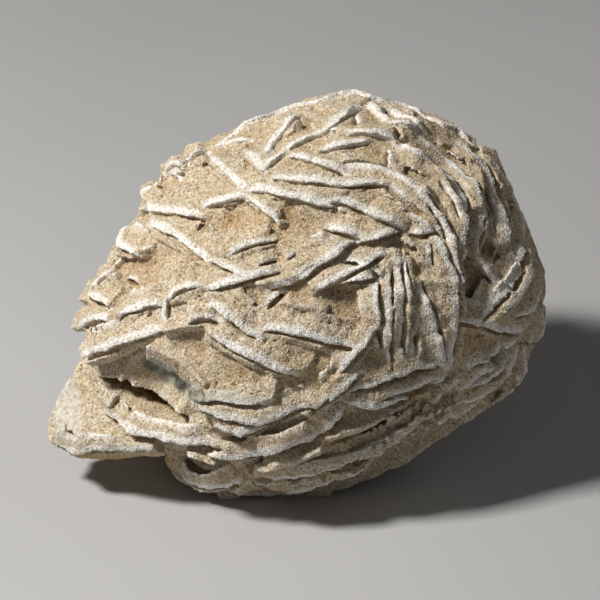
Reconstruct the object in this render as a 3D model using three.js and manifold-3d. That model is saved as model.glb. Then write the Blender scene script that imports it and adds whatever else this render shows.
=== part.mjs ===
// A gypsum sand rose: one cluster of lens-shaped gypsum blades that grew together in sand.
// It is one solid. The blades overlap and merge into each other around a domed mass.
//
// The show face is laid out in a frame of its own, in millimetres: u to the right, v up the
// face and w out of it. The finished rose is laid back, so that the face looks up at a slant.

import * as THREE from 'three';
import { mergeVertices } from 'three/addons/utils/BufferGeometryUtils.js';
import Module from 'manifold-3d';

// Driving dimensions, in millimetres and degrees.
const OUTLINE = [33.0, 32.2, 30.4, 27.0, 23.8, 24.4, 28.8, 31.2, 28.4, 26.4, 24.6, 26.6];
const FRONT_DEPTH = 21;
const BACK_DEPTH = 24;
const EDGE_FULLNESS = 0.8;
const CORE_SINK = 1.4;
const RIM_LIFT = 0.3;
const CREST = 0.5;
const FULL_CREST_LENGTH = 10;
const RIM_THICKNESS = 0.85;
const BLADE_TAPER = 0.08;
const FACE_SLOPE = 24;
const FIN_SLOPE = 52;
const BLADE_REACH = 8;
const SHOULDER = 0.7;
const SHOULDER_DROP = 2.6;
const RIM_ROUGHNESS = 0.22;
const LEAN_MIN = 30;
const LEAN_MAX = 78;
const RIM_STEP = 3;
const RIM_POINTS = [4, 7];
const LEAN_BACK = 60;
const BASE_CUT = 3.4;
const SMALLEST_FACE = 0.2;

// Rims on the show face: u and v of the two ends, then how far the rim bows out between them.
// A blade's broad side is on the left of the way from its first end to its second.
// Where they are unusual, the rim's thickness, the blade's lean and how proud it stands follow.
const CROWN = [
  [2.5, 28.6, -10.0, 23.3, 1.0],
  [-10.0, 23.3, -13.4, 21.9, 0.3],
  [-13.2, 22.0, -16.2, 20.8, 0.6],
  [-15.7, 21.4, -16.3, 18.2, 0.5],
  [-13.4, 20.4, -9.2, 15.7, 0.3, 0.8],
  [-8.2, 20.6, -4.8, 17.2, 0.1, 0.7],
  [-4.9, 17.5, -2.3, 20.3, 0.1, 0.7],
  [-4.9, 19.9, -0.3, 26.3, 0.4, 0.8],
  [-2.6, 20.4, 3.2, 23.2, 0.3, 0.8],
  [2.8, 23.3, 8.7, 27.4, 0.1, 0.8],
  [9.6, 27.6, 11.9, 24.6, 0.3, 0.8],
  [12.0, 26.9, 16.9, 24.1, 0.5],
  [3.3, 22.5, 12.6, 22.0, 0.5, 1.0],
  [2.6, 19.8, 9.6, 21.7, 0.7],
  [9.5, 29.2, 2.5, 28.6, 0.6],
  [17.0, 26.3, 9.5, 28.6, 0.9],
  [24.8, 22.3, 17.5, 25.8, 0.6],
  [-1.9, 19.5, 5.4, 17.1, 0.2, 0.8],
];

const BROW = [
  [5.8, 18.3, 14.2, 17.0, 0.4],
  [18.8, 13.4, 13.2, 17.6, 0.4, 0.8],
  [11.9, 18.3, 11.8, 20.8, 0.1, 0.6],
  [-4.2, 16.2, 6.2, 15.5, 0.4, 0.8],
  [5.8, 15.5, 12.2, 15.2, 0.3],
  [14.9, 12.7, 11.6, 15.5, 0.2, 0.8],
  [-7.2, 14.9, 5.6, 12.6, 0.5, 1.1],
  [5.0, 12.8, 14.4, 9.7, 0.2, 1.0],
  [-14.0, 12.5, -7.5, 14.0, 0.3],
  [-7.6, 14.3, -2.8, 10.1, 0.4, 0.7],
  [-22.7, 12.6, -13.0, 11.2, 0.5, 1.0],
  [-21.8, 10.8, -9.2, 3.4, 1.0, 1.3],
  [-20.0, 18.7, -16.6, 16.4, 0.4],
  [-21.8, 15.9, -21.8, 13.5, 0.8],
  [-19.0, 19.0, -19.4, 17.2, 0.5],
  [-9.8, 5.9, -3.0, 8.0, 0.3, 0.6],
];

const CENTRE = [
  [-13.4, 0.6, -3.6, 3.8, 0.5, 0.9],
  [-5.6, 1.5, 2.4, 4.6, 0.5, 1.1],
  [1.2, 3.8, 8.2, 8.6, 0.6, 1.4],
  [6.3, 6.8, 14.3, 9.7, 0.5],
  [14.6, 8.3, 18.9, 8.9, 0.3, 0.7],
  [1.6, 1.1, 8.8, 3.8, 0.4],
  [8.2, 3.4, 11.5, 6.0, 0.1],
  [5.2, 2.0, 10.9, 2.8, 0.3, 0.7],
  [9.2, -5.9, 10.7, 2.6, 1.0, 0.8],
  [5.2, -10.8, 9.6, -4.9, 0.3, 1.2, 60, 0.6],
  [-5.6, -4.1, 7.2, -6.6, 0.5, 1.0],
  [-12.9, -0.2, -5.7, -5.5, 0.5, 1.0],
  [-12.9, -4.8, 0.4, -10.3, 1.1, 1.2],
  [-4.0, -0.2, 3.4, -1.6, 0.2, 0.6],
];

const UPRIGHTS = [
  [12.5, -9.6, 12.3, 5.2, 0.2, 0.6],
  [14.2, -9.4, 13.8, 6.6, 0.3, 0.6],
  [14.9, -1.0, 14.7, 5.6, 0.2, 0.6],
  [11.2, -7.6, 11.4, -3.4, 0.2, 0.6],
  [20.4, -10.6, 16.0, 2.6, 0.8, 0.8],
  [18.4, 1.8, 18.4, 7.0, 0.5, 0.7],
  [16.4, -8.6, 16.2, -3.0, 0.1, 0.6],
];

const RIGHT_ARCS = [
  [20.9, -10.5, 21.4, 3.0, 0.5],
  [21.2, 1.0, 16.0, 12.2, 1.3, 0.7],
  [22.4, 2.5, 14.0, 17.2, 1.8],
  [22.8, 6.0, 13.0, 21.8, 3.2],
  [25.6, 12.0, 20.0, 24.0, 1.5],
  [24.6, 6.0, 25.8, 12.4, 0.3, 0.7],
  [24.3, 5.3, 27.4, 2.2, 0.2, 0.7],
  [25.5, -3.9, 31.2, 6.2, 1.2, 1.7, 50, 1.0],
  [29.6, 7.0, 24.8, 21.2, 1.0, 1.1],
  [32.4, 4.6, 27.2, 20.8, 1.2],
  [22.2, -3.6, 31.4, -4.6, 0.5, 0.9, 70, 0.9],
  [22.2, -13.0, 29.0, -6.2, 0.6, 1.0],
  [28.0, -4.0, 32.5, 1.6, 0.5],
  [30.2, -3.4, 34.0, 0.6, 0.5],
  [31.8, -6.0, 34.4, -1.8, 1.0],
  [32.6, -1.4, 33.0, 5.2, 0.5],
];

const SKIRT = [
  [8.6, -11.0, 19.6, -9.2, 0.6],
  [6.8, -13.0, 17.5, -10.6, 0.7],
  [5.8, -14.0, 20.4, -10.4, 1.9, 1.0],
  [0.7, -16.2, 8.3, -9.9, 0.5, 1.0],
  [-14.4, -14.1, -3.4, -14.2, 0.7, 1.6],
  [-14.6, -14.6, 1.4, -15.0, 2.3, 1.0],
  [-11.8, -17.4, -4.6, -17.9, 0.9],
  [3.2, -18.9, 6.6, -15.0, 0.3],
  [-15.2, -20.6, 2.5, -20.2, 1.6, 1.3, 50, 1.2],
  [-4.0, -20.0, 20.6, -10.6, 0.9, 1.1, 55, 1.3],
  [-17.4, -24.2, -6.4, -24.6, 1.2, 1.0, 55, 0.8],
  [-10.8, -26.2, 4.0, -26.2, 1.0, 0.85, 60, 1.4],
  [-6.0, -24.0, 19.8, -14.4, 1.6, 0.85, 60, 1.7],
  [-2.0, -26.8, 20.8, -16.8, 1.2, 0.85, 62, 1.0],
  [8.6, -24.4, 26.6, -13.6, 0.5, 0.85, 60, 0.5],
  [20.2, -15.2, 27.2, -12.2, 0.4, 0.85, null, 0.6],
  [24.6, -12.6, 28.6, -8.4, 0.3],
  [26.4, -13.8, 30.8, -6.2, 0.6, 0.85, null, 0.3],
  [29.4, -12.0, 31.8, -6.4, 0.5, 0.85, null, 0.8],
];

const LEFT_FLANK = [
  [-22.7, 11.0, -22.4, 5.8, 3.2],
  [-29.2, 2.4, -27.4, -1.0, 1.4],
  [-31.0, 0.1, -26.2, -0.9, 0.5],
  [-25.6, -2.2, -18.4, -0.7, 0.5, 0.7],
  [-18.0, -0.5, -12.8, 1.2, 0.3],
  [-31.9, -3.8, -26.7, -3.2, 0.5],
  [-18.6, -4.6, -12.8, -3.0, 0.3, 1.4, 38],
  [-26.4, 6.8, -27.2, 3.2, 0.4],
];

// Four plates stand clear of the dome, at the lower left: the lobe, the sill above it, and above
// that the ridge and the broken blade. Their outlines are u and v, laid in a plane whose middle
// is at w = depth, tipped up and aside by the two angles of tip, in degrees.
const LOBE = {
  outline: [[-31.6, -7.6], [-32.8, -10.4], [-34.8, -13.8], [-35.8, -17.8], [-34.9, -20.6],
    [-31.0, -22.4], [-24.0, -22.2], [-18.0, -21.6], [-20.0, -16.0], [-26.0, -10.0]],
  depth: 1.5,
  tip: [15, -28],
  thickness: 3.2,
};
const SILL = {
  outline: [[-28.6, -12.2], [-27.6, -15.2], [-25.6, -17.4], [-22.4, -18.8], [-18.0, -19.6],
    [-12.8, -20.0], [-10.0, -14.0], [-14.0, -9.0], [-20.0, -6.5], [-28.0, -8.5]],
  depth: 8.6,
  tip: [8, -28],
  thickness: 1.6,
};
const RIDGE = {
  outline: [[-31.8, -7.4], [-30.0, -9.4], [-26.0, -8.0], [-22.0, -6.8], [-17.4, -4.9],
    [-16.0, -3.0], [-20.0, -1.0], [-28.0, -3.4], [-31.4, -4.2]],
  depth: 11.6,
  tip: [25, -42],
  thickness: 1.9,
};
const BROKEN_BLADE = {
  outline: [[-21.4, -7.2], [-18.6, -9.2], [-17.2, -9.8], [-14.2, -13.6], [-6.0, -10.6],
    [-10.0, -3.0], [-17.0, -3.4]],
  depth: 15.2,
  tip: [38, 14],
  thickness: 3.0,
};

// The hollow between the sill and the ridge over it: its middle and its three radii.
const HOLLOW_AT = [-23.0, -12.6, 14.6];
const HOLLOW_SIZE = [7.5, 5.4, 6.0];

const BACK_BLADES = 62;
const BACK_START = 0.42;
const BACK_LENGTH = [11, 19];
const BACK_BOW = [1.2, 2.8];
const BACK_TWIST = 0.7;
const SEED = 20;

const degrees = THREE.MathUtils.degToRad;
const mix = THREE.MathUtils.lerp;

// A small repeatable source of chance, so that the rose comes out the same each time.
function chance(seed) {
  let state = seed;
  return () => {
    state = (state * 1664525 + 1013904223) % 4294967296;
    return state / 4294967296;
  };
}

const wobble = chance(SEED);

// The outline's radius at an angle, run smoothly through the radii given every 30 degrees.
function outlineRadius(angle) {
  const count = OUTLINE.length;
  const place = ((angle / (2 * Math.PI)) * count + 2 * count) % count;
  const index = Math.floor(place);
  const t = place - index;
  const [a, b, c, d] = [-1, 0, 1, 2].map((step) => OUTLINE[(index + step + count) % count]);
  return b + 0.5 * t * (c - a + t * (2 * a - 5 * b + 4 * c - d + t * (3 * (b - c) + d - a)));
}

// A point of the dome: turn runs round the outline, rise from the back (-90) to the front (90).
function domePoint(turn, rise) {
  const radius = outlineRadius(turn) * Math.max(Math.cos(rise), 0) ** EDGE_FULLNESS;
  const depth = rise > 0 ? FRONT_DEPTH : BACK_DEPTH;
  return new THREE.Vector3(radius * Math.cos(turn), radius * Math.sin(turn), depth * Math.sin(rise));
}

function domeNormal(turn, rise) {
  const step = 0.02;
  const steep = THREE.MathUtils.clamp(rise, -1.5, 1.5);
  const along = domePoint(turn + step, steep).sub(domePoint(turn - step, steep));
  const over = domePoint(turn, steep + step).sub(domePoint(turn, steep - step));
  return along.cross(over).normalize();
}

// The dome's angles under a point of the show face.
function onFace(u, v) {
  const turn = Math.atan2(v, u);
  const reach = Math.min(Math.hypot(u, v) / outlineRadius(turn), 1);
  return [turn, Math.acos(reach ** (1 / EDGE_FULLNESS))];
}

function facePoint(u, v, lift) {
  const [turn, rise] = onFace(u, v);
  return new THREE.Vector3(u, v, domePoint(turn, rise).z).addScaledVector(domeNormal(turn, rise), lift);
}

// A closed solid for the boolean joins, with its shared corners merged.
function solid(wasm, geometry) {
  geometry.deleteAttribute('normal');
  geometry.deleteAttribute('uv');
  const merged = mergeVertices(geometry, 1e-5);
  const vertProperties = new Float32Array(merged.attributes.position.array);
  const triVerts = new Uint32Array(merged.index.array);
  return new wasm.Manifold(new wasm.Mesh({ numProp: 3, vertProperties, triVerts }));
}

// The domed mass that the blades grow out of, a little smaller than the dome of their rims.
function coreGeometry() {
  const geometry = new THREE.SphereGeometry(1, 20, 12).rotateX(Math.PI / 2);
  const corner = geometry.attributes.position;
  for (let i = 0; i < corner.count; i += 1) {
    const turn = Math.atan2(corner.getY(i), corner.getX(i));
    const rise = Math.asin(THREE.MathUtils.clamp(corner.getZ(i), -1, 1));
    const point = domePoint(turn, rise).addScaledVector(domeNormal(turn, rise), -CORE_SINK);
    const pole = Math.abs(corner.getZ(i)) > 0.9999;
    corner.setXYZ(i, pole ? 0 : point.x, pole ? 0 : point.y, point.z);
  }
  return geometry;
}

// The blade's outline in its own plane: the bowed rim first, then the part inside the rose.
// Each point is [along the rim, outwards].
function bladeOutline(length, bow) {
  const half = length / 2;
  const swing = 2 * Math.atan(Math.max(bow, 0.02) / half);
  const radius = half / Math.sin(swing);
  const count = THREE.MathUtils.clamp(Math.round(length / RIM_STEP), ...RIM_POINTS);
  const points = [];
  for (let i = 0; i < count; i += 1) {
    const angle = swing * (2 * (i / (count - 1)) - 1);
    const rough = (wobble() - 0.5) * 2 * RIM_ROUGHNESS;
    points.push([radius * Math.sin(angle), radius * (Math.cos(angle) - Math.cos(swing)) + rough]);
  }
  points.push([half + SHOULDER, -SHOULDER_DROP], [0, -BLADE_REACH], [-half - SHOULDER, -SHOULDER_DROP]);
  return points;
}

// One lens-shaped blade between two ends: a drum whose side follows the outline. out is the way
// the rim faces, and side the broad face's normal. Away from the rim the blade thickens, by flare
// on its broad side, where sand has filled in behind it, and a little on the other.
function bladeGeometry(from, to, out, bow, thickness, flare) {
  const along = to.clone().sub(from);
  const length = along.length();
  along.normalize();
  const outward = out.clone().addScaledVector(along, -out.dot(along)).normalize();
  const side = outward.clone().cross(along);
  const outline = bladeOutline(length, bow);
  const geometry = new THREE.CylinderGeometry(1, 1, thickness, outline.length);
  const corner = geometry.attributes.position;
  for (let i = 0; i < corner.count; i += 1) {
    const [x, y, z] = [corner.getX(i), corner.getY(i), corner.getZ(i)];
    const turn = Math.atan2(x, z) / (2 * Math.PI);
    const onAxis = Math.hypot(x, z) < 0.5;
    const index = Math.round(turn * outline.length + outline.length) % outline.length;
    const [a, b] = onAxis ? [0, -BLADE_REACH / 2] : outline[index];
    corner.setXYZ(i, a, y + (y > 0 ? flare : -BLADE_TAPER) * (bow - b), b);
  }
  const middle = from.clone().add(to).multiplyScalar(0.5);
  const frame = new THREE.Matrix4().makeBasis(along, side, outward).setPosition(middle);
  return geometry.applyMatrix4(frame);
}

// A blade whose rim runs over the dome between two of its points. The more it bows out, the
// flatter it lies, as a tile does; a straight rim stands up as a fin.
function domeBlade(from, to, crown, normal, bow, thickness = RIM_THICKNESS, lean = null) {
  const along = to.clone().sub(from).normalize();
  const upright = normal.clone().addScaledVector(along, -normal.dot(along)).normalize();
  const broad = upright.clone().cross(along);
  const length = from.distanceTo(to);
  const sag = crown.clone().sub(from.clone().add(to).multiplyScalar(0.5)).dot(upright);
  const rise = Math.max(sag + CREST * Math.min(length / FULL_CREST_LENGTH, 1), 0.2);
  const free = THREE.MathUtils.clamp(Math.atan2(rise, bow), degrees(LEAN_MIN), degrees(LEAN_MAX));
  const angle = lean === null ? free : degrees(lean);
  const out = upright.clone().multiplyScalar(Math.sin(angle)).addScaledVector(broad, -Math.cos(angle));
  const climb = lean === null ? rise / Math.sin(angle) : 0;
  const slope = thickness < RIM_THICKNESS ? FIN_SLOPE : FACE_SLOPE;
  const flare = lean === null ? Math.tan(Math.max(angle - degrees(slope), 0)) : BLADE_TAPER;
  return bladeGeometry(from, to, out, Math.max(climb, bow / Math.cos(angle)), thickness, flare);
}

function faceBlade([u0, v0, u1, v1, bow, thickness, lean, proud = 0]) {
  const [turn, rise] = onFace((u0 + u1) / 2, (v0 + v1) / 2);
  const lift = RIM_LIFT + proud;
  const places = [[u0, v0], [u1, v1], [(u0 + u1) / 2, (v0 + v1) / 2]];
  const [from, to, crown] = places.map(([u, v]) => facePoint(u, v, lift));
  return domeBlade(from, to, crown, domeNormal(turn, rise), bow, thickness, lean);
}

// A thick plate of even thickness, its broad face turned up and out.
function plateGeometry({ outline, depth, tip, thickness }) {
  const middle = outline.reduce((sum, [u, v]) => sum.add(new THREE.Vector2(u, v)), new THREE.Vector2());
  middle.divideScalar(outline.length);
  const corners = outline.map(([u, v]) => new THREE.Vector2(u, v).sub(middle));
  const geometry = new THREE.ExtrudeGeometry(new THREE.Shape(corners), { depth: thickness, bevelEnabled: false });
  geometry.translate(0, 0, -thickness / 2).rotateX(-degrees(tip[0])).rotateY(degrees(tip[1]));
  return geometry.translate(middle.x, middle.y, depth);
}

// Blades round the sides and the back, spread evenly on a spiral. Their rims run round the
// back's middle, each turned a little by chance.
function backBlade(index) {
  const golden = Math.PI * (3 - Math.sqrt(5));
  const height = mix(Math.sin(BACK_START), -0.99, ((index + 0.5) / BACK_BLADES) ** 0.85);
  const turn = index * golden;
  const rise = Math.asin(height);
  const normal = domeNormal(turn, rise);
  const crown = domePoint(turn, rise).addScaledVector(normal, RIM_LIFT);
  const east = new THREE.Vector3(-Math.sin(turn), Math.cos(turn), 0);
  const twist = (wobble() * 2 - 1) * BACK_TWIST + 0.5 * Math.sin(2 * turn);
  const heading = east.addScaledVector(normal, -east.dot(normal)).normalize().applyAxisAngle(normal, twist);
  const half = mix(...BACK_LENGTH, wobble()) / 2;
  const bow = mix(...BACK_BOW, wobble());
  const drop = half * half / (2 * BACK_DEPTH);
  const middle = crown.clone().addScaledVector(normal, -drop);
  const [from, to] = [-half, half].map((step) => middle.clone().addScaledVector(heading, step));
  return domeBlade(from, to, crown, normal, bow);
}

async function sandRose() {
  const wasm = await Module();
  wasm.setup();
  const faces = [CROWN, BROW, CENTRE, UPRIGHTS, RIGHT_ARCS, SKIRT, LEFT_FLANK].flat().map(faceBlade);
  const plates = [LOBE, SILL, RIDGE, BROKEN_BLADE].map(plateGeometry);
  const backs = Array.from({ length: BACK_BLADES }, (_, index) => backBlade(index));
  const hollow = new THREE.SphereGeometry(1, 14, 10).scale(...HOLLOW_SIZE).translate(...HOLLOW_AT);
  let rose = solid(wasm, coreGeometry()).subtract(solid(wasm, hollow));
  for (const blade of [...faces, ...plates, ...backs]) {
    rose = rose.add(solid(wasm, blade));
  }
  rose = rose.rotate([LEAN_BACK, 0, 0]);
  const low = rose.boundingBox().min[2] + BASE_CUT;
  const ground = new THREE.BoxGeometry(200, 200, 100).translate(0, 0, low - 50);
  rose = rose.subtract(solid(wasm, ground)).translate([0, 0, -low]);
  rose = rose.asOriginal().simplify(SMALLEST_FACE);
  const pieces = rose.decompose().sort((a, b) => b.volume() - a.volume());
  const { min, max } = pieces[0].boundingBox();
  return pieces[0].translate([-(min[0] + max[0]) / 2, -(min[1] + max[1]) / 2, 0]);
}

function meshOf(manifold, name, material) {
  const { vertProperties, triVerts } = manifold.getMesh();
  const geometry = new THREE.BufferGeometry();
  geometry.setAttribute('position', new THREE.BufferAttribute(vertProperties, 3));
  geometry.setIndex(new THREE.BufferAttribute(triVerts, 1));
  geometry.computeVertexNormals();
  const mesh = new THREE.Mesh(geometry, material);
  mesh.name = name;
  return mesh;
}

const gypsum = new THREE.MeshStandardMaterial({ color: 0xd8c8ac, roughness: 0.9, metalness: 0 });
const group = new THREE.Group();
group.add(meshOf(await sandRose(), 'sand_rose', gypsum));

export default group;
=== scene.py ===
import math

import bpy
import numpy as np
import openvdb as vdb
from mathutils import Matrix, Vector


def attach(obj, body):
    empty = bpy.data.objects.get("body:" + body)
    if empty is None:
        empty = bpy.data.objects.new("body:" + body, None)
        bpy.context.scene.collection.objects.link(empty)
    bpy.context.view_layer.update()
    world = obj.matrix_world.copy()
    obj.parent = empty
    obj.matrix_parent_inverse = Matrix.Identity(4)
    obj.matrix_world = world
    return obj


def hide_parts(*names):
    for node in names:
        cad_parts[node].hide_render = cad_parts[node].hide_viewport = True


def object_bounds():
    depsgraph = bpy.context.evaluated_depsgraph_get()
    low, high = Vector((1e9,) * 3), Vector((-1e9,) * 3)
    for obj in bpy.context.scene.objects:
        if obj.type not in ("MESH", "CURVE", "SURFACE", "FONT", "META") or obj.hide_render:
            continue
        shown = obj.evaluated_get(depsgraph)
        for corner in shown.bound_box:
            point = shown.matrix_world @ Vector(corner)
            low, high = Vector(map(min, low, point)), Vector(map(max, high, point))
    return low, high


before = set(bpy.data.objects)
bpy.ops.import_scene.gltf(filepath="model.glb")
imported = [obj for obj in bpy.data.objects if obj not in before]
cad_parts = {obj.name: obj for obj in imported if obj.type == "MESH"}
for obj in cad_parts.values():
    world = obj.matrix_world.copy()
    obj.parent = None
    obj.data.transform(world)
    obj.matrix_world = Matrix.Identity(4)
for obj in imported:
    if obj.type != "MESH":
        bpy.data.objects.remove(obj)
cad_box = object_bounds()

# Lengths are in millimetres until the meshes are made. The show face has a frame of its own,
# as in the CAD: u to the right, v up the face and w out of it, laid back from upright.
MM = 0.001
FACE_ORIGIN = np.array([0.441, -1.120, 24.201])
LEAN_BACK = math.radians(60)
FINE_VOXEL = 0.22
BAND = 2.4
MOST_TRIANGLES = 196000
SEED = 11
FACE_TOP = 26
FACE_BOTTOM = -12

# The reach of the smoothing that fills the face, then of that for the skirt and lobe, and how
# far under the smooth skin the sand stays. The back is filled by a share only.
SAND_FILL = (1.5, 2.0)
SAND_LEVEL = 0.03
BACK_FILL = 0.25
# The hollow stays open: its middle, how flat it is, and the radii where sand begins and is whole.
HOLLOW = (-22.5, -12.5)
HOLLOW_FLATNESS = 1.4
HOLLOW_EDGE = (7, 11)
# Places u, v or w between which the filling of a region changes over. The back's are of -w.
FRONT_EDGE = (-4, 2)
BACK_EDGE = (0, 6)
SKIRT_EDGE = (-19, -14)
LOBE_RIGHT = (-29, -25)
LOBE_TOP = (-11, -8)
ROUGH_CORNER_TOP = (-17, -12)
ROUGH_CORNER_LEFT = (14, 20)

# The rims: wedges with a broad face, a crest and a steep side.
RIM_STEP = 0.6
RIM_HEIGHT = 0.5
RIM_DEPTH = 1.3
RIM_BREADTH = 2.6
RIM_WAVES = [(0.12, 1.3, 61), (0.08, 0.7, 62)]
THICKNESS_WAVE = (0.3, 1.6, 67)
END_SINK = 0.3
SIDE_STEP = 0.35
CALM_BLUR = 3.0
CALM_STEP = 2.0
FACE_SLOPE = 0.15
FACE_CURVE = 0.10
CREST_ROUND = 0.15
CREST_ROUND_BY_THICKNESS = 0.25
UNDERCUT = 0.25
FOOT_FILLET = 0.2

# The lumps and creases of the skin: heights, sizes and seeds of the noise.
LUMPS = [(0.16, 2.6, 31), (0.12, 1.1, 32), (0.06, 0.55, 33)]
CREASE_SLOPE = math.radians(20)
CREASE_STRETCH = 3.5
CREASE_HEIGHT = 0.16
CREASE_CELL = 1.9
CREASE_PATCH = 7.0
WARPS = [(0.45, 9.0, 41), (0.22, 3.2, 51)]
SKIN_BLUR = 0.08
SKIN_LEVEL = 0.04
RIM_LOOK_BLUR = 0.6
OPEN_LOOK_BLUR = 2.0
BACK_RIM_GAIN = 0.6

# The sand grains: how many, and how big, uneven and deep they are.
GRAIN_PIECES = 4
GRAINS_EACH = 24000
GRAIN_SIZE = (0.07, 0.16)
GRAIN_UNEVENNESS = (0.75, 1.25)
GRAIN_LIFT = (-0.01, 0.06)
SMOOTH_EDGE = (0.1, 0.6)
OCTAHEDRON = np.array([[0, 1, 2], [1, 3, 2], [3, 4, 2], [4, 0, 2],
                       [1, 0, 5], [3, 1, 5], [4, 3, 5], [0, 4, 5]])

# The camera and the floor, in metres.
CAMERA_DISTANCE = 0.4765
CAMERA_ELEVATION = math.radians(30)
FLOOR_HALF = 1.5

# Rims on the show face, in order round it: the thickness of each, then its points u, v. The
# broad side of its blade is on the left of the way along it.
CROWN = [
    (0.8, (-12.0, 22.2), (-9.8, 23.2), (-8.6, 24.3), (-5.6, 25.8), (-2.2, 27.3), (0.8, 28.2), (2.6, 28.6)),
    (0.9, (-15.6, 18.4), (-15.3, 19.8), (-14.4, 20.7), (-13.0, 21.0)),
    (0.9, (-13.3, 20.3), (-11.6, 18.8), (-9.8, 17.0), (-8.8, 15.9), (-7.4, 14.8)),
    (0.7, (-8.2, 20.7), (-6.6, 19.2), (-4.8, 17.3)),
    (0.8, (-4.8, 17.5), (-3.6, 18.7), (-2.3, 20.1)),
    (0.9, (-5.0, 19.8), (-3.2, 22.5), (-1.8, 24.5), (0.1, 26.5)),
    (0.8, (-2.3, 20.1), (-0.6, 21.2), (1.2, 22.2), (3.0, 23.0), (4.8, 23.6)),
    (0.8, (2.9, 22.9), (5.4, 24.9), (7.4, 26.3), (9.0, 27.2)),
    (0.5, (-13.0, 21.5), (-10.0, 22.2), (-6.8, 22.5)),
    (0.9, (5.6, 22.6), (8.0, 22.8), (10.6, 22.4), (13.0, 21.9)),
    (1.0, (2.8, 20.0), (4.4, 20.6), (6.2, 21.2), (9.0, 21.6)),
    (1.1, (9.2, 27.5), (10.4, 26.4), (11.8, 24.8)),
    (1.1, (11.0, 27.2), (14.0, 26.0), (16.2, 24.8), (17.5, 23.3)),
    (0.8, (11.8, 24.4), (14.4, 24.2), (17.0, 23.3)),
    (0.5, (7.7, 26.0), (7.6, 24.0)),
    (0.8, (2.8, 28.7), (5.8, 29.1), (8.0, 29.6), (9.4, 29.1)),
    (0.9, (9.4, 29.0), (11.0, 28.3), (13.0, 27.9), (14.6, 28.2), (16.0, 27.2), (17.6, 26.2)),
    (0.7, (17.6, 26.2), (19.4, 25.1), (22.5, 23.7), (24.6, 22.3)),
]

BROW = [
    (0.8, (-1.9, 19.7), (1.2, 18.9), (4.2, 17.9), (6.2, 17.0)),
    (0.9, (-4.2, 16.4), (-0.4, 16.2), (3.0, 15.8), (6.0, 15.4), (9.0, 15.6), (11.8, 15.5)),
    (0.8, (11.6, 15.5), (13.1, 14.1), (14.6, 12.9)),
    (1.1, (-7.2, 15.0), (-4.0, 14.3), (-0.6, 13.7), (2.8, 12.8), (5.2, 12.4)),
    (0.9, (3.4, 13.4), (5.4, 13.0), (7.8, 12.2), (10.8, 10.8), (14.2, 9.5)),
    (0.6, (11.8, 21.0), (12.1, 18.6)),
    (0.9, (-22.4, 12.7), (-19.0, 12.2), (-15.8, 11.6), (-13.2, 11.2)),
    (0.8, (-13.8, 12.5), (-10.8, 13.3), (-7.4, 14.1)),
    (0.7, (-7.6, 14.3), (-5.3, 12.1), (-3.0, 10.2)),
    (1.3, (-21.8, 10.9), (-19.4, 9.6), (-16.9, 8.1), (-14.4, 6.3), (-12.4, 5.0)),
    (0.7, (-12.4, 5.2), (-10.6, 4.4), (-8.8, 3.6), (-7.0, 2.9)),
    (0.8, (-19.4, 17.4), (-19.2, 18.6), (-17.9, 18.9), (-16.6, 18.6)),
    (0.8, (-18.8, 18.2), (-17.8, 17.2), (-16.5, 16.3)),
    (0.9, (-20.4, 16.3), (-22.0, 15.6), (-22.1, 14.4), (-21.0, 13.4)),
    (0.5, (-9.8, 5.9), (-7.0, 7.2), (-3.2, 8.2)),
    (0.4, (-2.1, 5.3), (-0.5, 6.5)),
    (0.4, (-6.0, 4.6), (-3.4, 5.6)),
]

CENTRE = [
    (0.9, (3.0, 9.8), (5.6, 9.2), (7.9, 8.2)),
    (0.8, (-13.4, 0.8), (-10.0, 1.7), (-7.4, 2.6), (-2.8, 3.8)),
    (1.2, (-4.8, 1.1), (-1.5, 1.8), (1.4, 3.2), (4.0, 5.0), (6.2, 6.9), (7.9, 8.1)),
    (0.7, (6.6, 6.9), (8.6, 7.4), (11.2, 8.2), (14.2, 9.2)),
    (0.7, (14.4, 9.0), (16.4, 8.7), (18.8, 9.4)),
    (0.8, (-4.6, -1.6), (-3.7, -0.2), (-2.2, 0.9)),
    (0.8, (1.6, 0.9), (4.4, 1.9), (7.2, 2.5), (10.8, 2.7)),
    (0.8, (4.2, 2.1), (6.9, 3.4), (9.1, 4.7), (11.4, 6.0)),
    (0.5, (9.6, 3.9), (10.9, 2.8)),
    (0.5, (5.7, 5.0), (7.9, 4.7)),
    (0.7, (11.0, -4.2), (11.1, -2.4), (10.6, -0.2), (10.5, 2.3)),
    (1.3, (5.6, -10.0), (7.5, -7.8), (9.1, -5.9), (11.0, -3.9)),
    (1.0, (-5.8, -4.0), (-3.0, -4.4), (1.0, -5.2), (4.6, -6.0), (7.2, -6.5)),
    (1.0, (-12.6, -0.4), (-10.7, -2.2), (-8.6, -3.8), (-5.7, -5.4)),
    (0.9, (-12.9, -4.7), (-10.0, -6.4), (-6.7, -7.8), (-4.4, -9.2), (-0.4, -10.8)),
    (0.5, (12.5, -9.6), (12.4, -2.0), (12.2, 4.6)),
    (0.6, (14.2, -9.2), (13.8, -0.5), (13.5, 4.6), (13.7, 7.0)),
    (0.5, (14.9, -0.9), (14.3, 5.2)),
    (0.9, (20.4, -10.4), (19.6, -6.4), (18.3, -2.9), (17.2, -0.2), (16.1, 2.7)),
    (0.5, (18.1, 4.2), (17.5, 7.6)),
    (0.5, (10.8, -6.8), (10.8, -4.0)),
    (0.4, (15.2, -8.6), (16.2, -3.4)),
]

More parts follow.
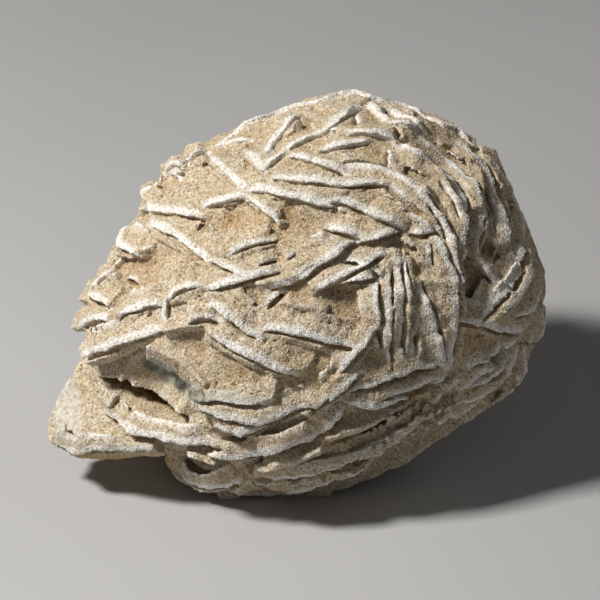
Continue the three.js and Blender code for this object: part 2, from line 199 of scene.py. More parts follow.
RIGHT_SIDE = [
    (0.9, (22.0, 1.6), (21.9, 4.4), (21.2, 8.6), (19.1, 12.5), (16.2, 15.7), (13.6, 17.4), (11.2, 18.4),
     (8.4, 18.8), (5.4, 18.4)),
    (0.8, (20.9, -10.4), (21.3, -5.5), (21.5, -2.4), (21.2, 2.9), (19.8, 7.5), (17.6, 10.4), (14.8, 12.9),
     (12.0, 15.2)),
    (0.9, (22.6, 6.4), (23.2, 10.6), (23.0, 14.6), (20.9, 17.1), (19.1, 18.9), (16.9, 20.4), (14.3, 21.4),
     (12.8, 22.0)),
    (0.8, (25.9, 13.2), (25.1, 16.1), (22.6, 18.2), (19.8, 20.7), (16.6, 22.9)),
    (0.6, (24.8, 5.9), (25.0, 8.6), (25.3, 11.0), (26.0, 12.8)),
    (0.6, (24.1, 6.1), (25.4, 3.8), (27.2, 2.1)),
    (1.2, (29.8, 7.1), (28.9, 11.4), (28.0, 15.4), (26.6, 18.2), (24.8, 20.7), (22.6, 22.6)),
    (0.8, (32.2, 8.4), (31.5, 11.4), (30.1, 15.0), (28.7, 17.9), (26.6, 20.8)),
    (1.8, (25.4, -3.4), (27.4, -0.2), (29.6, 2.6), (30.9, 5.2), (31.3, 7.8)),
    (0.7, (28.4, -2.2), (31.6, 1.4), (33.2, 5.0)),
    (0.7, (29.8, -2.9), (32.6, -1.4), (34.2, 1.4)),
    (0.9, (21.5, -3.5), (24.9, -4.2), (28.9, -4.7), (31.7, -4.4)),
    (0.9, (21.9, -13.1), (23.3, -12.0), (25.8, -10.4), (27.4, -8.3), (28.9, -6.4)),
    (0.6, (25.5, -11.7), (27.8, -10.4), (29.0, -7.3)),
    (0.8, (27.7, -13.8), (29.5, -13.4), (31.1, -11.4), (32.0, -8.9), (32.2, -6.2)),
    (0.6, (29.2, -11.1), (30.2, -8.6), (30.8, -6.4)),
    (0.8, (32.0, -5.8), (33.8, -5.9), (34.5, -4.2), (34.4, -1.8)),
    (0.5, (17.2, 13.2), (19.4, 10.2), (20.6, 7.4)),
    (0.5, (19.2, 16.6), (21.2, 14.0), (22.0, 11.2)),
    (0.5, (26.6, 16.0), (27.0, 12.6), (27.4, 9.4)),
    (0.8, (22.6, -9.6), (25.4, -8.9), (28.2, -7.6), (30.4, -6.2)),
    (0.8, (22.8, -12.8), (25.8, -11.6), (28.6, -10.0), (30.8, -8.2)),
    (0.7, (21.0, -15.2), (24.2, -14.2), (27.2, -12.6), (29.6, -10.8)),
    (0.7, (15.5, -18.4), (19.0, -17.4), (22.6, -16.0), (25.6, -14.2)),
]

SKIRT = [
    (1.1, (-15.1, -20.8), (-12.8, -21.4), (-10.0, -22.2), (-7.0, -21.8), (-4.0, -21.1), (-1.0, -20.5),
     (1.5, -19.8), (3.4, -18.8)),
    (1.0, (5.8, -14.3), (8.4, -15.0), (11.0, -15.2), (14.0, -13.8), (17.1, -12.2), (20.4, -10.8)),
    (1.0, (-27.8, -15.2), (-26.4, -16.7), (-24.6, -18.0), (-22.4, -18.8), (-19.3, -19.4), (-16.0, -19.8),
     (-13.0, -19.6), (-10.6, -19.2)),
    (0.7, (-2.5, -24.2), (0.0, -23.4), (2.1, -22.8), (5.3, -22.2), (8.4, -20.8), (10.9, -19.8),
     (13.4, -18.4),
     (15.6, -16.9), (17.8, -15.1), (20.2, -12.8)),
    (0.7, (-6.4, -25.4), (-2.5, -25.1), (1.2, -24.5), (4.6, -23.7), (9.4, -22.6), (12.5, -21.2),
     (14.9, -19.6),
     (17.1, -18.1), (19.3, -16.0)),
    (0.8, (3.4, -18.8), (4.8, -17.2), (6.5, -15.4)),
]

CHIN = [
    (0.9, (-14.4, -14.4), (-13.6, -15.0), (-10.9, -16.2), (-8.1, -16.7), (-5.3, -17.2), (-3.0, -16.7),
     (-0.8, -15.7), (1.4, -14.9)),
    (1.2, (-14.3, -14.1), (-11.2, -13.7), (-8.0, -14.3), (-4.6, -14.6)),
    (0.7, (-12.3, -17.4), (-9.8, -18.2), (-7.5, -18.3), (-5.0, -17.8)),
    (0.6, (1.2, -15.9), (2.6, -14.4), (3.5, -13.4)),
    (0.9, (3.4, -14.2), (5.3, -13.1), (6.9, -11.5), (8.4, -9.8)),
    (0.8, (6.4, -12.8), (9.6, -11.9), (12.8, -10.8), (16.4, -9.8), (19.8, -9.1)),
    (0.6, (10.9, -13.6), (15.6, -12.3), (18.7, -10.9)),
    (0.7, (-10.4, -26.8), (-7.8, -27.8), (-4.4, -27.5), (-1.0, -27.1), (2.1, -26.3), (4.4, -25.3),
     (7.4, -24.3), (10.6, -23.2)),
    (0.8, (-17.6, -24.4), (-15.7, -25.8), (-13.4, -26.4), (-11.5, -26.5), (-9.8, -26.1), (-8.0, -25.4)),
]

LEFT_SIDE = [
    (1.0, (-22.8, 10.7), (-24.6, 10.2), (-25.7, 9.2), (-25.9, 8.0), (-25.1, 7.0), (-23.6, 6.2),
     (-22.0, 5.6)),
    (0.7, (-30.3, 0.8), (-28.6, 2.5), (-26.8, 4.0), (-25.2, 6.2)),
    (0.9, (-30.4, 0.6), (-28.7, -0.3), (-26.5, -1.1)),
    (0.9, (-31.6, -3.8), (-29.3, -3.3), (-26.8, -3.0)),
    (0.7, (-25.2, -3.0), (-24.4, -2.0), (-22.5, -1.6), (-20.9, -1.0), (-19.2, -1.0)),
    (0.7, (-17.8, -0.3), (-16.9, 0.7), (-15.3, 1.3), (-13.8, 1.5)),
    (0.6, (-18.2, -3.0), (-18.0, -0.4)),
    (1.4, (-31.4, -8.0), (-28.4, -7.5), (-25.5, -6.6), (-22.4, -5.5), (-18.7, -4.3)),
    (0.8, (-15.6, -3.2), (-13.1, -2.6), (-11.6, -3.1)),
    (0.9, (-35.2, -19.2), (-34.0, -20.6), (-32.0, -21.5), (-30.2, -22.0), (-28.3, -21.2), (-26.7, -21.5),
     (-24.9, -21.2), (-22.9, -21.4), (-21.2, -20.6)),
    (0.5, (-24.4, 3.0), (-22.6, 2.2)),
]

# How wide, to each side, and how deep the groove beyond each rim is.
GROOVES = [(CROWN, 0.30, 0.6), (BROW, 0.32, 0.8), (CENTRE, 0.35, 0.9), (RIGHT_SIDE, 0.35, 0.9),
           (SKIRT, 0.80, 3.6), (CHIN, 0.45, 1.6), (LEFT_SIDE, 0.35, 0.9)]

# Hollows with no rim of their own: half the width, the depth, then the points of the line along it.
HOLLOWS = [
    (1.3, 3.2, (-28.5, -10.8), (-25.0, -11.3), (-21.5, -12.9), (-18.0, -15.0), (-15.6, -16.9)),
    (0.7, 1.8, (-30.5, -4.6), (-28.4, -4.4), (-26.6, -4.2)),
    (0.9, 3.0, (-17.0, -21.6), (-13.0, -23.2), (-9.0, -23.6), (-5.0, -23.0)),
    (0.8, 2.6, (12.0, -16.6), (16.0, -14.4), (20.0, -12.0)),
]

# Patches of the show face: how far each reaches from the line through its points.
BROKEN_EDGE = (1.4, (-21.5, -8.7), (-18.9, -10.0), (-17.2, -11.2), (-15.3, -12.5), (-13.9, -13.2))
BARE_PATCHES = [
    (3.2, (-34.0, -12.0), (-33.2, -15.0), (-32.8, -18.0)),
    (1.0, (-13.6, -13.6), (-10.8, -12.7), (-8.0, -13.4), (-5.0, -14.4)),
]
AMBER_PATCH = (1.9, (-31.5, -23.2), (-26.0, -23.4), (-20.0, -23.0))

rng = np.random.default_rng(SEED)


def to_world(points):
    """Points of the show-face frame, in the row frame."""
    u, v, w = np.asarray(points, float).T
    cos, sin = math.cos(LEAN_BACK), math.sin(LEAN_BACK)
    return np.stack([u, v * cos - w * sin, v * sin + w * cos], 1) + FACE_ORIGIN


def to_face(points):
    """Points of the row frame, in the show-face frame."""
    x, y, z = (np.asarray(points, float) - FACE_ORIGIN).T
    cos, sin = math.cos(LEAN_BACK), math.sin(LEAN_BACK)
    return np.stack([x, y * cos + z * sin, z * cos - y * sin], 1)


def smoothstep(low, high, values):
    t = np.clip((values - low) / (high - low), 0, 1)
    return t * t * (3 - 2 * t)


def noise(points, cell, seed):
    """Smooth noise from -1 to 1, with features about a cell across."""
    side = 64
    table = np.random.default_rng(seed).uniform(-1, 1, side**3).astype(np.float32)
    place = np.asarray(points, np.float32) / cell + 1000
    corner = np.floor(place).astype(np.int32)
    t = place - corner
    t = t * t * (3 - 2 * t)
    total = np.zeros(len(place), np.float32)
    for dx in (0, 1):
        for dy in (0, 1):
            for dz in (0, 1):
                i, j, k = ((corner + (dx, dy, dz)) % side).T
                weight = (t[:, 0] if dx else 1 - t[:, 0]) * (t[:, 1] if dy else 1 - t[:, 1])
                total += table[(i * side + j) * side + k] * weight * (t[:, 2] if dz else 1 - t[:, 2])
    return total


def noise_vector(points, cell, seed):
    return np.stack([noise(points, cell, seed + axis) for axis in range(3)], 1)


def waves(points, parts):
    """The sum of noises, each given by its height, the size of its features and its seed."""
    return sum(height * noise(points, cell, seed) for height, cell, seed in parts)


def soft_min(a, b, blend):
    """The smaller of two distances, with a fillet about blend wide."""
    share = np.clip(0.5 + 0.5 * (b - a) / blend, 0, 1)
    return b + share * (a - b) - blend * share * (1 - share)


class Field:
    """A signed distance field on a block of voxels: negative inside the stone."""

    def __init__(self, corners, triangles, voxel):
        self.voxel = voxel
        transform = vdb.createLinearTransform(voxelSize=voxel)
        grid = vdb.FloatGrid.createLevelSetFromPolygons(
            corners.astype(np.float32),
            triangles=triangles.astype(np.uint32),
            transform=transform,
            halfWidth=BAND / voxel,
        )
        pad = 4
        self.first = np.floor(corners.min(0) / voxel).astype(int) - pad
        last = np.ceil(corners.max(0) / voxel).astype(int) + pad
        self.values = np.full(last - self.first, BAND, np.float32)
        grid.copyToArray(self.values, ijk=tuple(int(i) for i in self.first))

    def block(self, low, high):
        """The slices of the block between two points, and its voxels' centres."""
        shape = np.array(self.values.shape)
        a = np.clip(np.floor(low / self.voxel).astype(int) - self.first, 0, shape)
        b = np.clip(np.ceil(high / self.voxel).astype(int) + 1 - self.first, 0, shape)
        slices = tuple(slice(i, j) for i, j in zip(a, b))
        axes = [(np.arange(i, j) + f) * self.voxel for i, j, f in zip(a, b, self.first)]
        return slices, np.stack(np.meshgrid(*axes, indexing="ij"), -1)

    def at(self, points, values=None):
        """The field, or another array of its size, at points."""
        values = self.values if values is None else values
        place = np.asarray(points) / self.voxel - self.first
        place = np.clip(place, 0, np.array(values.shape) - 1.001)
        corner = place.astype(int)
        t = place - corner
        total = 0
        for dx in (0, 1):
            for dy in (0, 1):
                for dz in (0, 1):
                    i, j, k = (corner + (dx, dy, dz)).T
                    weight = (t[:, 0] if dx else 1 - t[:, 0]) * (t[:, 1] if dy else 1 - t[:, 1])
                    total = total + values[i, j, k] * weight * (t[:, 2] if dz else 1 - t[:, 2])
        return total

    def blurred(self, sigma):
        """A copy smoothed over sigma."""
        reach = int(math.ceil(2.5 * sigma / self.voxel))
        taps = np.exp(-0.5 * (np.arange(-reach, reach + 1) * self.voxel / sigma) ** 2)
        taps = (taps / taps.sum()).astype(np.float32)
        result = self.values
        for axis in range(3):
            margins = [(reach, reach) if a == axis else (0, 0) for a in range(3)]
            padded = np.moveaxis(np.pad(result, margins, mode="edge"), axis, 0)
            count = result.shape[axis]
            result = np.moveaxis(sum(tap * padded[i : i + count] for i, tap in enumerate(taps)), 0, axis)
        return result

    def height(self, places):
        """w of the stone's surface over points u, v of the show face."""
        w = np.arange(FACE_TOP, FACE_BOTTOM, -self.voxel)
        line = np.concatenate([np.repeat(places, len(w), 0), np.tile(w, len(places))[:, None]], 1)
        inside = self.at(to_world(line)).reshape(len(places), -1) < 0
        return np.where(inside.any(1), w[inside.argmax(1)], FACE_BOTTOM)

    def slope(self, points, values, step):
        """Unit vectors up an array of the field's size, at points."""
        rise = []
        for axis in step * np.eye(3):
            rise.append(self.at(points + axis, values) - self.at(points - axis, values))
        return unit(np.stack(rise, 1))

    def mesh(self, level):
        grid = vdb.FloatGrid(BAND)
        grid.transform = vdb.createLinearTransform(voxelSize=self.voxel)
        grid.copyFromArray(self.values, ijk=tuple(int(i) for i in self.first))
        return grid.convertToQuads(isovalue=level)


def cad_surface():
    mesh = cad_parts["sand_rose"].data
    mesh.calc_loop_triangles()
    corners = np.zeros(len(mesh.vertices) * 3, np.float32)
    mesh.vertices.foreach_get("co", corners)
    triangles = np.zeros(len(mesh.loop_triangles) * 3, np.int32)
    mesh.loop_triangles.foreach_get("vertices", triangles)
    corners = np.round(corners.reshape(-1, 3).astype(float) / MM, 4)
    corners, same = np.unique(corners, axis=0, return_inverse=True)
    return corners, same.reshape(-1)[triangles.reshape(-1, 3)]


def unit(vectors):
    return vectors / np.linalg.norm(vectors, axis=-1, keepdims=True)


def fill_with_sand(field):
    """Sand rounds out the crevices of the show face and lobe, but not the hollow or the rough lower right."""
    index = np.argwhere(np.abs(field.values) < BAND * 0.9)
    u, v, w = to_face((index + field.first) * field.voxel).T
    from_hollow = np.hypot(u - HOLLOW[0], (v - HOLLOW[1]) * HOLLOW_FLATNESS)
    share = smoothstep(*FRONT_EDGE, w) * smoothstep(*HOLLOW_EDGE, from_hollow)
    share *= np.maximum(smoothstep(*ROUGH_CORNER_TOP, v), 1 - smoothstep(*ROUGH_CORNER_LEFT, u))
    share = np.maximum(share, BACK_FILL * smoothstep(*BACK_EDGE, -w))
    lobe = (1 - smoothstep(*LOBE_RIGHT, u)) * (1 - smoothstep(*LOBE_TOP, v))
    share = np.maximum(share, lobe)
    skirt = np.maximum(1 - smoothstep(*SKIRT_EDGE, v), lobe)
    i, j, k = index.T
    old = field.values[i, j, k]
    fine, coarse = (field.blurred(sigma)[i, j, k] for sigma in SAND_FILL)
    filled = np.minimum(old, fine + skirt * (coarse - fine) + SAND_LEVEL)
    field.values[i, j, k] = old + share * (filled - old)


def spread(points, step):
    """Points about a step apart on a smooth curve through the given ones, with places from 0 to 1."""
    points = np.array(points)
    gaps = np.hypot(*np.diff(points, axis=0).T)
    place = np.concatenate([[0], np.cumsum(gaps)]) / gaps.sum()
    t = np.linspace(0, 1, int(gaps.sum() / step) + 4)
    line = np.stack([np.interp(t, place, points[:, axis]) for axis in (0, 1)], 1)
    for _ in range(2):
        line[1:-1] = line[1:-1] / 2 + (line[:-2] + line[2:]) / 4
    return line, t


def rim_line(field, calm, row):
    """A rim's crest: its points, the thickness at each, the way the stone faces there, and an arch
    that is 1 along the middle and 0 at the ends."""
    thickness, points = row[0], row[1:]
    line, t = spread(points, RIM_STEP)
    side = np.gradient(line, axis=0) @ np.array([[0, 1], [-1, 0]])
    side = SIDE_STEP * unit(side)
    heights = np.max([field.height(line + share * side) for share in (-1, 0, 1)], 0)
    taps = np.array([1, 2, 3, 4, 3, 2, 1]) / 16
    heights = np.convolve(np.pad(heights, len(taps) // 2, mode="edge"), taps, mode="valid")
    crest = to_world(np.column_stack([line, heights]))
    normal = unit(field.slope(crest, calm, CALM_STEP))
    arch = 1 - np.abs(2 * t - 1) ** 4
    lift = RIM_HEIGHT * (0.5 + 0.5 * thickness) * arch - END_SINK * (1 - arch)
    lift += waves(crest, RIM_WAVES)
    crest = crest + lift[:, None] * normal
    wave = 1 + waves(crest, [THICKNESS_WAVE])
    return crest, thickness * (0.25 + 0.75 * np.sqrt(arch)) * wave, normal, arch


def span_frame(field, a, b, upright, reach):
    """The block round one span of a rim, and its voxels in the span's own axes: past the ends of
    the span, up out of the stone, and to the broad side."""
    along = b - a
    length = np.linalg.norm(along)
    along = along / length
    upright = unit(upright - upright @ along * along)
    slices, where = field.block(np.minimum(a, b) - reach, np.maximum(a, b) + reach)
    offset = where - a
    x = offset @ along
    return slices, x - np.clip(x, 0, length), offset @ upright, offset @ np.cross(upright, along)


def cut_gap(field, line, half_width, depth):
    """The open groove under a rim, on its steep side, where no sand lies. It fades at the ends."""
    points, _, normal, arch = line
    for a, b, upright, rise in zip(points[:-1], points[1:], normal, arch):
        slices, past, up, broad = span_frame(field, a, b, upright, depth + half_width + 1.0)
        half = half_width * (0.2 + 0.8 * rise)
        side = broad + half - UNDERCUT * np.clip(-up, 0, depth)
        low = depth * (0.4 + 0.6 * rise)
        level = up - np.clip(up, -low, depth / 2)
        groove = np.sqrt(level**2 + side**2 + past**2) - half
        field.values[slices] = -soft_min(-field.values[slices], groove, FOOT_FILLET)


def lay_rim(field, white, line):
    """A blade's face slopes up out of the sand to the rim's crest, and drops off steeply beyond it."""
    points, thickness, normal, arch = line
    for a, b, thick, upright, rise in zip(points[:-1], points[1:], thickness, normal, arch):
        slices, past, up, broad = span_frame(field, a, b, upright, RIM_BREADTH)
        wide = np.clip(broad, 0, RIM_BREADTH)
        face = up + FACE_SLOPE * wide + FACE_CURVE * wide**2
        drop = -broad - 0.12 * thick + UNDERCUT * np.clip(-up, 0, RIM_BREADTH)
        blade = -soft_min(-face, -drop, CREST_ROUND + CREST_ROUND_BY_THICKNESS * thick)
        blade = np.maximum(blade, -up - RIM_DEPTH)
        blade = np.where(past == 0, blade, np.hypot(np.maximum(blade, 0), past))
        field.values[slices] = soft_min(field.values[slices], blade, FOOT_FILLET)
        across = np.where(broad > 0, broad / (1.0 + 0.9 * thick), -broad / 0.5)
        near = np.sqrt(across**2 + (up / 1.1) ** 2 + (past / 0.5) ** 2)
        glow = np.clip(1 - near, 0, 1) * min(thick + 0.3, 1.1) * (0.55 + 0.45 * rise)
        white[slices] = np.maximum(white[slices], glow)


def patch_share(points, patch):
    """1 on the line of a patch of the show face, falling to 0 at its reach."""
    reach, *line = patch
    u, v, w = to_face(points).T
    nearest = np.full(len(points), reach, float)
    for a, b in zip(np.array(line[:-1]), np.array(line[1:])):
        along = (b - a) / np.hypot(*(b - a))
        x, y = u - a[0], v - a[1]
        past = x * along[0] + y * along[1]
        past = past - np.clip(past, 0, np.hypot(*(b - a)))
        nearest = np.minimum(nearest, np.hypot(past, x * along[1] - y * along[0]))
    return (1 - nearest / reach) * smoothstep(-6, -3, w)


def roughen(field, white):
    """Lumpy faces, with faint creases away from the rims: noise moves the surface in and out."""
    near = np.abs(field.values) < 1.0
    index = np.argwhere(near)
    where = (index + field.first) * field.voxel
    bump = waves(where, LUMPS)
    u, v, w = to_face(where).T
    cos, sin = math.cos(CREASE_SLOPE), math.sin(CREASE_SLOPE)
    place = np.stack([(u * cos + v * sin) / CREASE_STRETCH, v * cos - u * sin, w], 1)
    crease = (1 - np.abs(noise(place, CREASE_CELL, 34))) ** 4
    crease *= smoothstep(-0.3, 0.4, noise(where, CREASE_PATCH, 35)) * (1 - smoothstep(0, 0.2, white[near]))
    field.values[near] += bump - CREASE_HEIGHT * crease


def decimate(mesh_object, target):
    triangles = sum(len(p.vertices) - 2 for p in mesh_object.data.polygons)
    if triangles > target:
        modifier = mesh_object.modifiers.new("decimate", "DECIMATE")
        modifier.ratio = target / triangles
        modifier.use_collapse_triangulate = True
        depsgraph = bpy.context.evaluated_depsgraph_get()
        mesh = bpy.data.meshes.new_from_object(mesh_object.evaluated_get(depsgraph))
        mesh_object.modifiers.clear()
        mesh_object.data = mesh


def new_object(name, corners, faces):
    """faces is an array of corner numbers, one row for each face."""
    mesh = bpy.data.meshes.new(name)
    sides = faces.shape[1]
    mesh.vertices.add(len(corners))
    mesh.vertices.foreach_set("co", np.ascontiguousarray(corners * MM, np.float32).reshape(-1))
    mesh.loops.add(faces.size)
    mesh.loops.foreach_set("vertex_index", np.ascontiguousarray(faces, np.int32).reshape(-1))
    mesh.polygons.add(len(faces))
    mesh.polygons.foreach_set("loop_start", np.arange(len(faces), dtype=np.int32) * sides)
    mesh.update(calc_edges=True)
    mesh.validate()
    made = bpy.data.objects.new(name, mesh)
    bpy.context.scene.collection.objects.link(made)
    return made


def corners_of(made):
    corners = np.zeros(len(made.data.vertices) * 3, np.float32)
    made.data.vertices.foreach_get("co", corners)
    return corners.reshape(-1, 3).astype(float) / MM


def set_corners(made, corners):
    made.data.vertices.foreach_set("co", np.ascontiguousarray(corners * MM, np.float32).reshape(-1))
    made.data.update()


def paint(made, name, values):
    attribute = made.data.attributes.new(name, "FLOAT", "POINT")
    attribute.data.foreach_set("value", values.astype(np.float32))


def keep_in_box(corners):
    """The skin stays in the CAD box."""
    low, high = (np.array(side) / MM for side in cad_box)
    return np.clip(corners, low, high)


def make_stone():
    """The whole rose as one skin. Returns it with what its colours and grains follow."""
    corners, triangles = cad_surface()
    field = Field(corners, triangles, FINE_VOXEL)
    fill_with_sand(field)
    calm = field.blurred(CALM_BLUR)
    white = np.zeros_like(field.values)
    for half_width, depth, *points in HOLLOWS:
        cut_gap(field, rim_line(field, calm, (0, *points)), half_width, depth)
    lines = [[rim_line(field, calm, row) for row in rows] for rows, _, _ in GROOVES]
    for group in lines:
        for line in group:
            lay_rim(field, white, line)
    for group, (rows, half_width, depth) in zip(lines, GROOVES):
        for line, row in zip(group, rows):
            cut_gap(field, line, half_width * min(row[0] + 0.2, 1), depth)
    field.values = field.blurred(SKIN_BLUR)
    roughen(field, white)
    convexity = (field.blurred(RIM_LOOK_BLUR) - field.values) / RIM_LOOK_BLUR
    # Openness is low in crevices. The colour darkens the sand there, partly for brown sand and partly as
    # painted shade.
    openness = (field.blurred(OPEN_LOOK_BLUR) - field.values) / OPEN_LOOK_BLUR
    points, quads = field.mesh(SKIN_LEVEL)
    stone = new_object("gypsum_rose", points.astype(float), quads[:, ::-1])
    decimate(stone, MOST_TRIANGLES)
    at = corners_of(stone)
    back = smoothstep(*BACK_EDGE, -to_face(at)[:, 2])
    looks = {
        "rim": np.clip(field.at(at, convexity) * (1 + BACK_RIM_GAIN * back), -1, 1),
        "open": field.at(at, openness),
        "white": field.at(at, white),
        "broken": patch_share(at, BROKEN_EDGE),
        "bare": np.max([patch_share(at, patch) for patch in BARE_PATCHES], 0),
        "amber": patch_share(at, AMBER_PATCH),
    }
    warp = sum(height * noise_vector(at, cell, seed) for height, cell, seed in WARPS)
    set_corners(stone, keep_in_box(at + warp))
    for name, values in looks.items():
        paint(stone, name, values)
    stone.data.polygons.foreach_set("use_smooth", np.ones(len(stone.data.polygons), bool))
    return stone, looks


def skin_of(made):
    made.data.calc_loop_triangles()
    triangles = np.zeros(len(made.data.loop_triangles) * 3, np.int32)
    made.data.loop_triangles.foreach_get("vertices", triangles)
    return corners_of(made), triangles.reshape(-1, 3)


def random_turns(count):
    """Rotation matrices, from random unit quaternions."""
    w, x, y, z = unit(rng.normal(size=(count, 4))).T
    rows = [
        [1 - 2 * (y * y + z * z), 2 * (x * y - z * w), 2 * (x * z + y * w)],
        [2 * (x * y + z * w), 1 - 2 * (x * x + z * z), 2 * (y * z - x * w)],
        [2 * (x * z - y * w), 2 * (y * z + x * w), 1 - 2 * (x * x + y * y)],
    ]
    return np.moveaxis(np.array(rows), 2, 0)


def make_grains(name, stone, looks, count):
    """Sand grains bedded in the skin: small eight-sided crystals, each turned at random."""
    corners, triangles = skin_of(stone)
    a, b, c = (triangles[:, i] for i in range(3))
    cross = np.cross(corners[b] - corners[a], corners[c] - corners[a])
    area = np.linalg.norm(cross, axis=1)
    chosen = rng.choice(len(triangles), count, p=area / area.sum())
    s, t = rng.random((2, count))
    flip = s + t > 1
    s[flip], t[flip] = 1 - s[flip], 1 - t[flip]
    shares = np.stack([1 - s - t, s, t], 1)[:, :, None]
    middle = (corners[triangles[chosen]] * shares).sum(1)
    middle += cross[chosen] / area[chosen][:, None] * rng.uniform(*GRAIN_LIFT, (count, 1))
    size = rng.uniform(*GRAIN_SIZE, (count, 1, 1)) * rng.uniform(*GRAIN_UNEVENNESS, (count, 6, 1))
    axes = np.concatenate([np.eye(3), -np.eye(3)])
    points = middle[:, None, :] + size * np.einsum("nij,kj->nki", random_turns(count), axes)
    low, high = (np.array(side) / MM for side in cad_box)
    smooth = np.max([looks["broken"], looks["bare"]], 0)[triangles[chosen, 0]]
    fits = ((points > low) & (points < high)).all((1, 2)) & (smooth < rng.uniform(*SMOOTH_EDGE, count))
    faces = OCTAHEDRON[None] + 6 * np.arange(fits.sum())[:, None, None]
    grains = new_object(name, points[fits].reshape(-1, 3), faces.reshape(-1, 3))
    for look, values in looks.items():
        here = (values[triangles[chosen]] * shares[:, :, 0]).sum(1)[fits]
        paint(grains, look, np.repeat(here, 6))
    paint(grains, "tone", np.repeat(rng.random(fits.sum()), 6))
    return grains


class Nodes:
    """A material's node tree, built by short calls."""

    def __init__(self, name):
        self.material = bpy.data.materials.new(name)
        self.material.use_nodes = True
        self.tree = self.material.node_tree
        self.shader = self.tree.nodes["Principled BSDF"]

    def add(self, kind, **settings):
        node = self.tree.nodes.new(kind)
        for name, value in settings.items():
            if name in node.inputs:
                self.put(node.inputs[name], value)
            else:
                setattr(node, name, value)
        return node

    def put(self, socket, value):
        if isinstance(value, bpy.types.NodeSocket):
            self.tree.links.new(value, socket)
        else:
            socket.default_value = value

    def math(self, operation, a, b=0.0):
        node = self.add("ShaderNodeMath", operation=operation)
        self.put(node.inputs[0], a)
        self.put(node.inputs[1], b)
        return node.outputs[0]

    def ramp(self, value, *stops):
        """A colour ramp through (place, grey or colour) stops."""
        node = self.add("ShaderNodeValToRGB")
        self.put(node.inputs[0], value)
        elements = node.color_ramp.elements
        while len(elements) < len(stops):
            elements.new(0.5)
        for element, (place, colour) in zip(elements, stops):
            element.position = place
            element.color = (*colour, 1) if isinstance(colour, tuple) else (colour, colour, colour, 1)
        return node.outputs[0]

    def mix(self, share, a, b, blend="MIX"):
        node = self.add("ShaderNodeMix", data_type="RGBA", blend_type=blend)
        self.put(node.inputs["Factor"], share)
        for socket, value in zip((node.inputs[6], node.inputs[7]), (a, b)):
            self.put(socket, (*value, 1) if isinstance(value, tuple) else value)
        return node.outputs[2]

    def attribute(self, name):
        return self.add("ShaderNodeAttribute", attribute_name=name).outputs["Fac"]

    def noise(self, scale, detail=2.0, roughness=0.5):
        place = self.add("ShaderNodeTexCoord").outputs["Object"]
        node = self.add("ShaderNodeTexNoise", Vector=place, Scale=scale, Detail=detail, Roughness=roughness)
        return node.outputs["Fac"]

    def grains(self, scale):
        place = self.add("ShaderNodeTexCoord").outputs["Object"]
        node = self.add("ShaderNodeTexVoronoi", Vector=place, Scale=scale)
        return node.outputs


SAND_TONES = [(0.0, (0.16, 0.12, 0.08)), (0.06, (0.35, 0.265, 0.17)), (0.3, (0.475, 0.38, 0.255)),
              (0.7, (0.56, 0.475, 0.34)), (0.96, (0.68, 0.63, 0.53))]
WHITE_TONES = [(0.36, (0.45, 0.39, 0.31)), (0.56, (0.87, 0.85, 0.80))]
BARE_TONES = [(0.38, (0.42, 0.37, 0.29)), (0.60, (0.68, 0.645, 0.56))]
BROKEN_TONES = [(0.38, (0.16, 0.155, 0.115)), (0.62, (0.46, 0.45, 0.37))]
AMBER_TONES = [(0.35, (0.42, 0.27, 0.10)), (0.65, (0.62, 0.46, 0.22))]


def rim_share(n):
    """How white a place is: on the rims, broken up by noise."""
    crest = n.math("MULTIPLY", n.attribute("white"), 1.1)
    rim = n.math("MAXIMUM", n.math("MULTIPLY", n.attribute("rim"), 0.75), crest)
    rough = n.math("MULTIPLY", n.math("SUBTRACT", n.noise(3200, 3, 0.8), 0.5), 1.1)
    patch = n.math("MULTIPLY", n.math("SUBTRACT", n.noise(420, 2, 0.6), 0.5), 0.35)
    return n.ramp(n.math("ADD", n.math("ADD", rim, rough), patch), (0.24, 0.0), (0.60, 1.0))


def lay_patch(n, crust, share, edge, tones):
    """A patch in tones of its own on the crust. Its share of the colour grows from 0 to 1 over the edge."""
    low, high = edge
    return n.mix(n.ramp(share, (low, 0.0), (high, 1.0)), crust, tones)


def gypsum_colour(n, sand):
    """Sand that is warmer and darker down in the crevices, partly brown sand and partly painted shade, white
    gypsum on the rims, and the patches.
    """
    hollow = n.math("ADD", n.attribute("open"), n.math("MULTIPLY", n.noise(500, 2), 0.2))
    # Painted shade: the sand darkens in crevices, and more in the deepest ones. This is partly brown sand
    # that gathers there and partly colour that stands in for shade.
    crevice_dust_and_shade = n.ramp(n.math("ADD", hollow, 0.5), (0.36, 1.0), (0.60, 0.0))
    deep_dust_and_shade = n.ramp(n.math("ADD", hollow, 0.5), (0.20, 1.0), (0.40, 0.0))
    sand = n.mix(crevice_dust_and_shade, sand, n.mix(1.0, sand, (0.78, 0.66, 0.52), "MULTIPLY"))
    sand = n.mix(deep_dust_and_shade, sand, n.mix(1.0, sand, (0.50, 0.42, 0.34), "MULTIPLY"))
    crust = n.mix(rim_share(n), sand, n.ramp(n.noise(2400, 3, 0.8), *WHITE_TONES))
    bare = n.math("ADD", n.attribute("bare"), n.math("MULTIPLY", n.noise(700, 4, 0.7), 0.9))
    crust = lay_patch(n, crust, bare, (0.66, 0.96), n.ramp(n.noise(1500, 4, 0.7), *BARE_TONES))
    broken = n.math("ADD", n.attribute("broken"), n.math("MULTIPLY", n.noise(900, 3), 0.4))
    crust = lay_patch(n, crust, broken, (0.38, 0.56), n.ramp(n.noise(700, 3), *BROKEN_TONES))
    return lay_patch(n, crust, n.attribute("amber"), (0.1, 0.6), n.ramp(n.noise(300, 2), *AMBER_TONES))


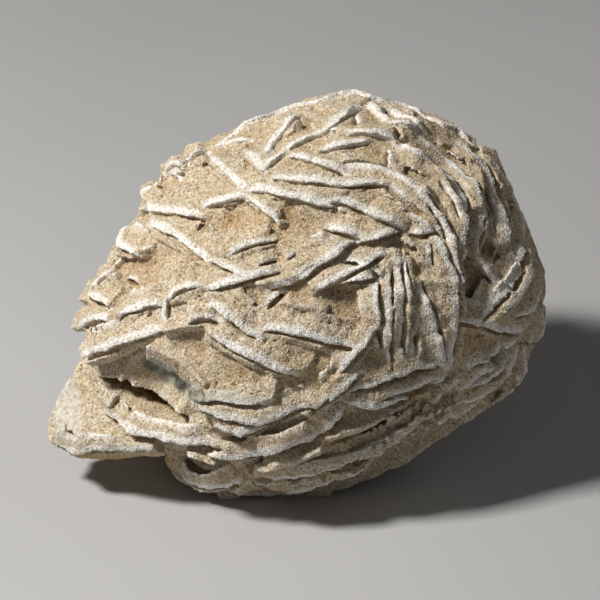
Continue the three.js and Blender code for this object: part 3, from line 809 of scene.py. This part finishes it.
def stone_material():
    n = Nodes("gypsum_and_sand")
    grain = n.grains(3600)
    pick = n.add("ShaderNodeSeparateColor", Color=grain["Color"]).outputs
    tint = n.ramp(n.noise(160, 3), (0.35, (0.93, 0.87, 0.78)), (0.6, (1.0, 1.0, 1.0)))
    sand = n.mix(1.0, n.ramp(pick[0], *SAND_TONES), tint, "MULTIPLY")
    n.put(n.shader.inputs["Base Color"], gypsum_colour(n, sand))
    n.shader.inputs["Roughness"].default_value = 0.9
    n.shader.inputs["Specular IOR Level"].default_value = 0.25
    height = n.math("ADD", n.math("MULTIPLY", grain["Distance"], -1.0), n.noise(2600, 3, 0.6))
    bump = n.add("ShaderNodeBump", Strength=0.6, Distance=0.00014, Height=height)
    n.put(n.shader.inputs["Normal"], bump.outputs[0])
    return n.material


def grain_material():
    n = Nodes("sand_grain")
    n.put(n.shader.inputs["Base Color"], gypsum_colour(n, n.ramp(n.attribute("tone"), *SAND_TONES)))
    n.shader.inputs["Roughness"].default_value = 0.6
    n.shader.inputs["Specular IOR Level"].default_value = 0.4
    bump = n.add("ShaderNodeBump", Strength=0.3, Distance=0.00004, Height=n.noise(9000, 2))
    n.put(n.shader.inputs["Normal"], bump.outputs[0])
    return n.material


def area_light(name, at, aim, size, power, colour):
    light = bpy.data.lights.new(name, "AREA")
    light.size = size
    light.energy = power
    light.color = colour
    made = bpy.data.objects.new(name, light)
    bpy.context.scene.collection.objects.link(made)
    made.location = at
    made.rotation_euler = (Vector(aim) - Vector(at)).to_track_quat("-Z", "Y").to_euler()


def studio():
    scene = bpy.context.scene
    aim = Vector(FACE_ORIGIN * MM)
    camera = bpy.data.objects.new("camera", bpy.data.cameras.new("camera"))
    scene.collection.objects.link(camera)
    camera.data.lens = 200
    camera.data.sensor_width = 36
    camera.data.clip_start = 0.01
    away = Vector((0, -math.cos(CAMERA_ELEVATION), math.sin(CAMERA_ELEVATION)))
    camera.location = aim + CAMERA_DISTANCE * away
    camera.rotation_euler = (aim - camera.location).to_track_quat("-Z", "Y").to_euler()
    scene.camera = camera
    area_light("key", (-0.25, -0.09, 0.36), aim, 0.06, 2.4, (1.0, 0.975, 0.94))
    area_light("fill", (-0.10, -0.45, 0.32), aim, 0.30, 0.07, (0.94, 0.96, 1.0))
    area_light("right", (0.40, 0.16, 0.26), aim, 0.20, 0.20, (1.0, 0.98, 0.95))
    world = bpy.data.worlds.new("studio")
    world.use_nodes = True
    world.node_tree.nodes["Background"].inputs["Color"].default_value = (0.9, 0.92, 0.95, 1)
    world.node_tree.nodes["Background"].inputs["Strength"].default_value = 0.05
    scene.world = world
    scene.view_settings.view_transform = "Standard"

    corners = FLOOR_HALF * np.array([[-1, -1, 0], [1, -1, 0], [1, 1, 0], [-1, 1, 0]])
    ground = new_object("floor", corners / MM, np.array([[0, 1, 2, 3]]))
    n = Nodes("floor_paper")
    n.put(n.shader.inputs["Base Color"], n.ramp(n.noise(8, 2), (0.3, 0.42), (0.7, 0.46)))
    n.shader.inputs["Roughness"].default_value = 0.9
    ground.data.materials.append(n.material)


stone, looks = make_stone()
stone.data.materials.append(stone_material())
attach(stone, "root")
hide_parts("sand_rose")

bedded = grain_material()
grain_count = GRAINS_EACH // 1
for number in range(GRAIN_PIECES):
    grains = make_grains(f"sand_grains_{number + 1}", stone, looks, grain_count)
    grains.data.materials.append(bedded)
    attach(grains, "root")
studio()
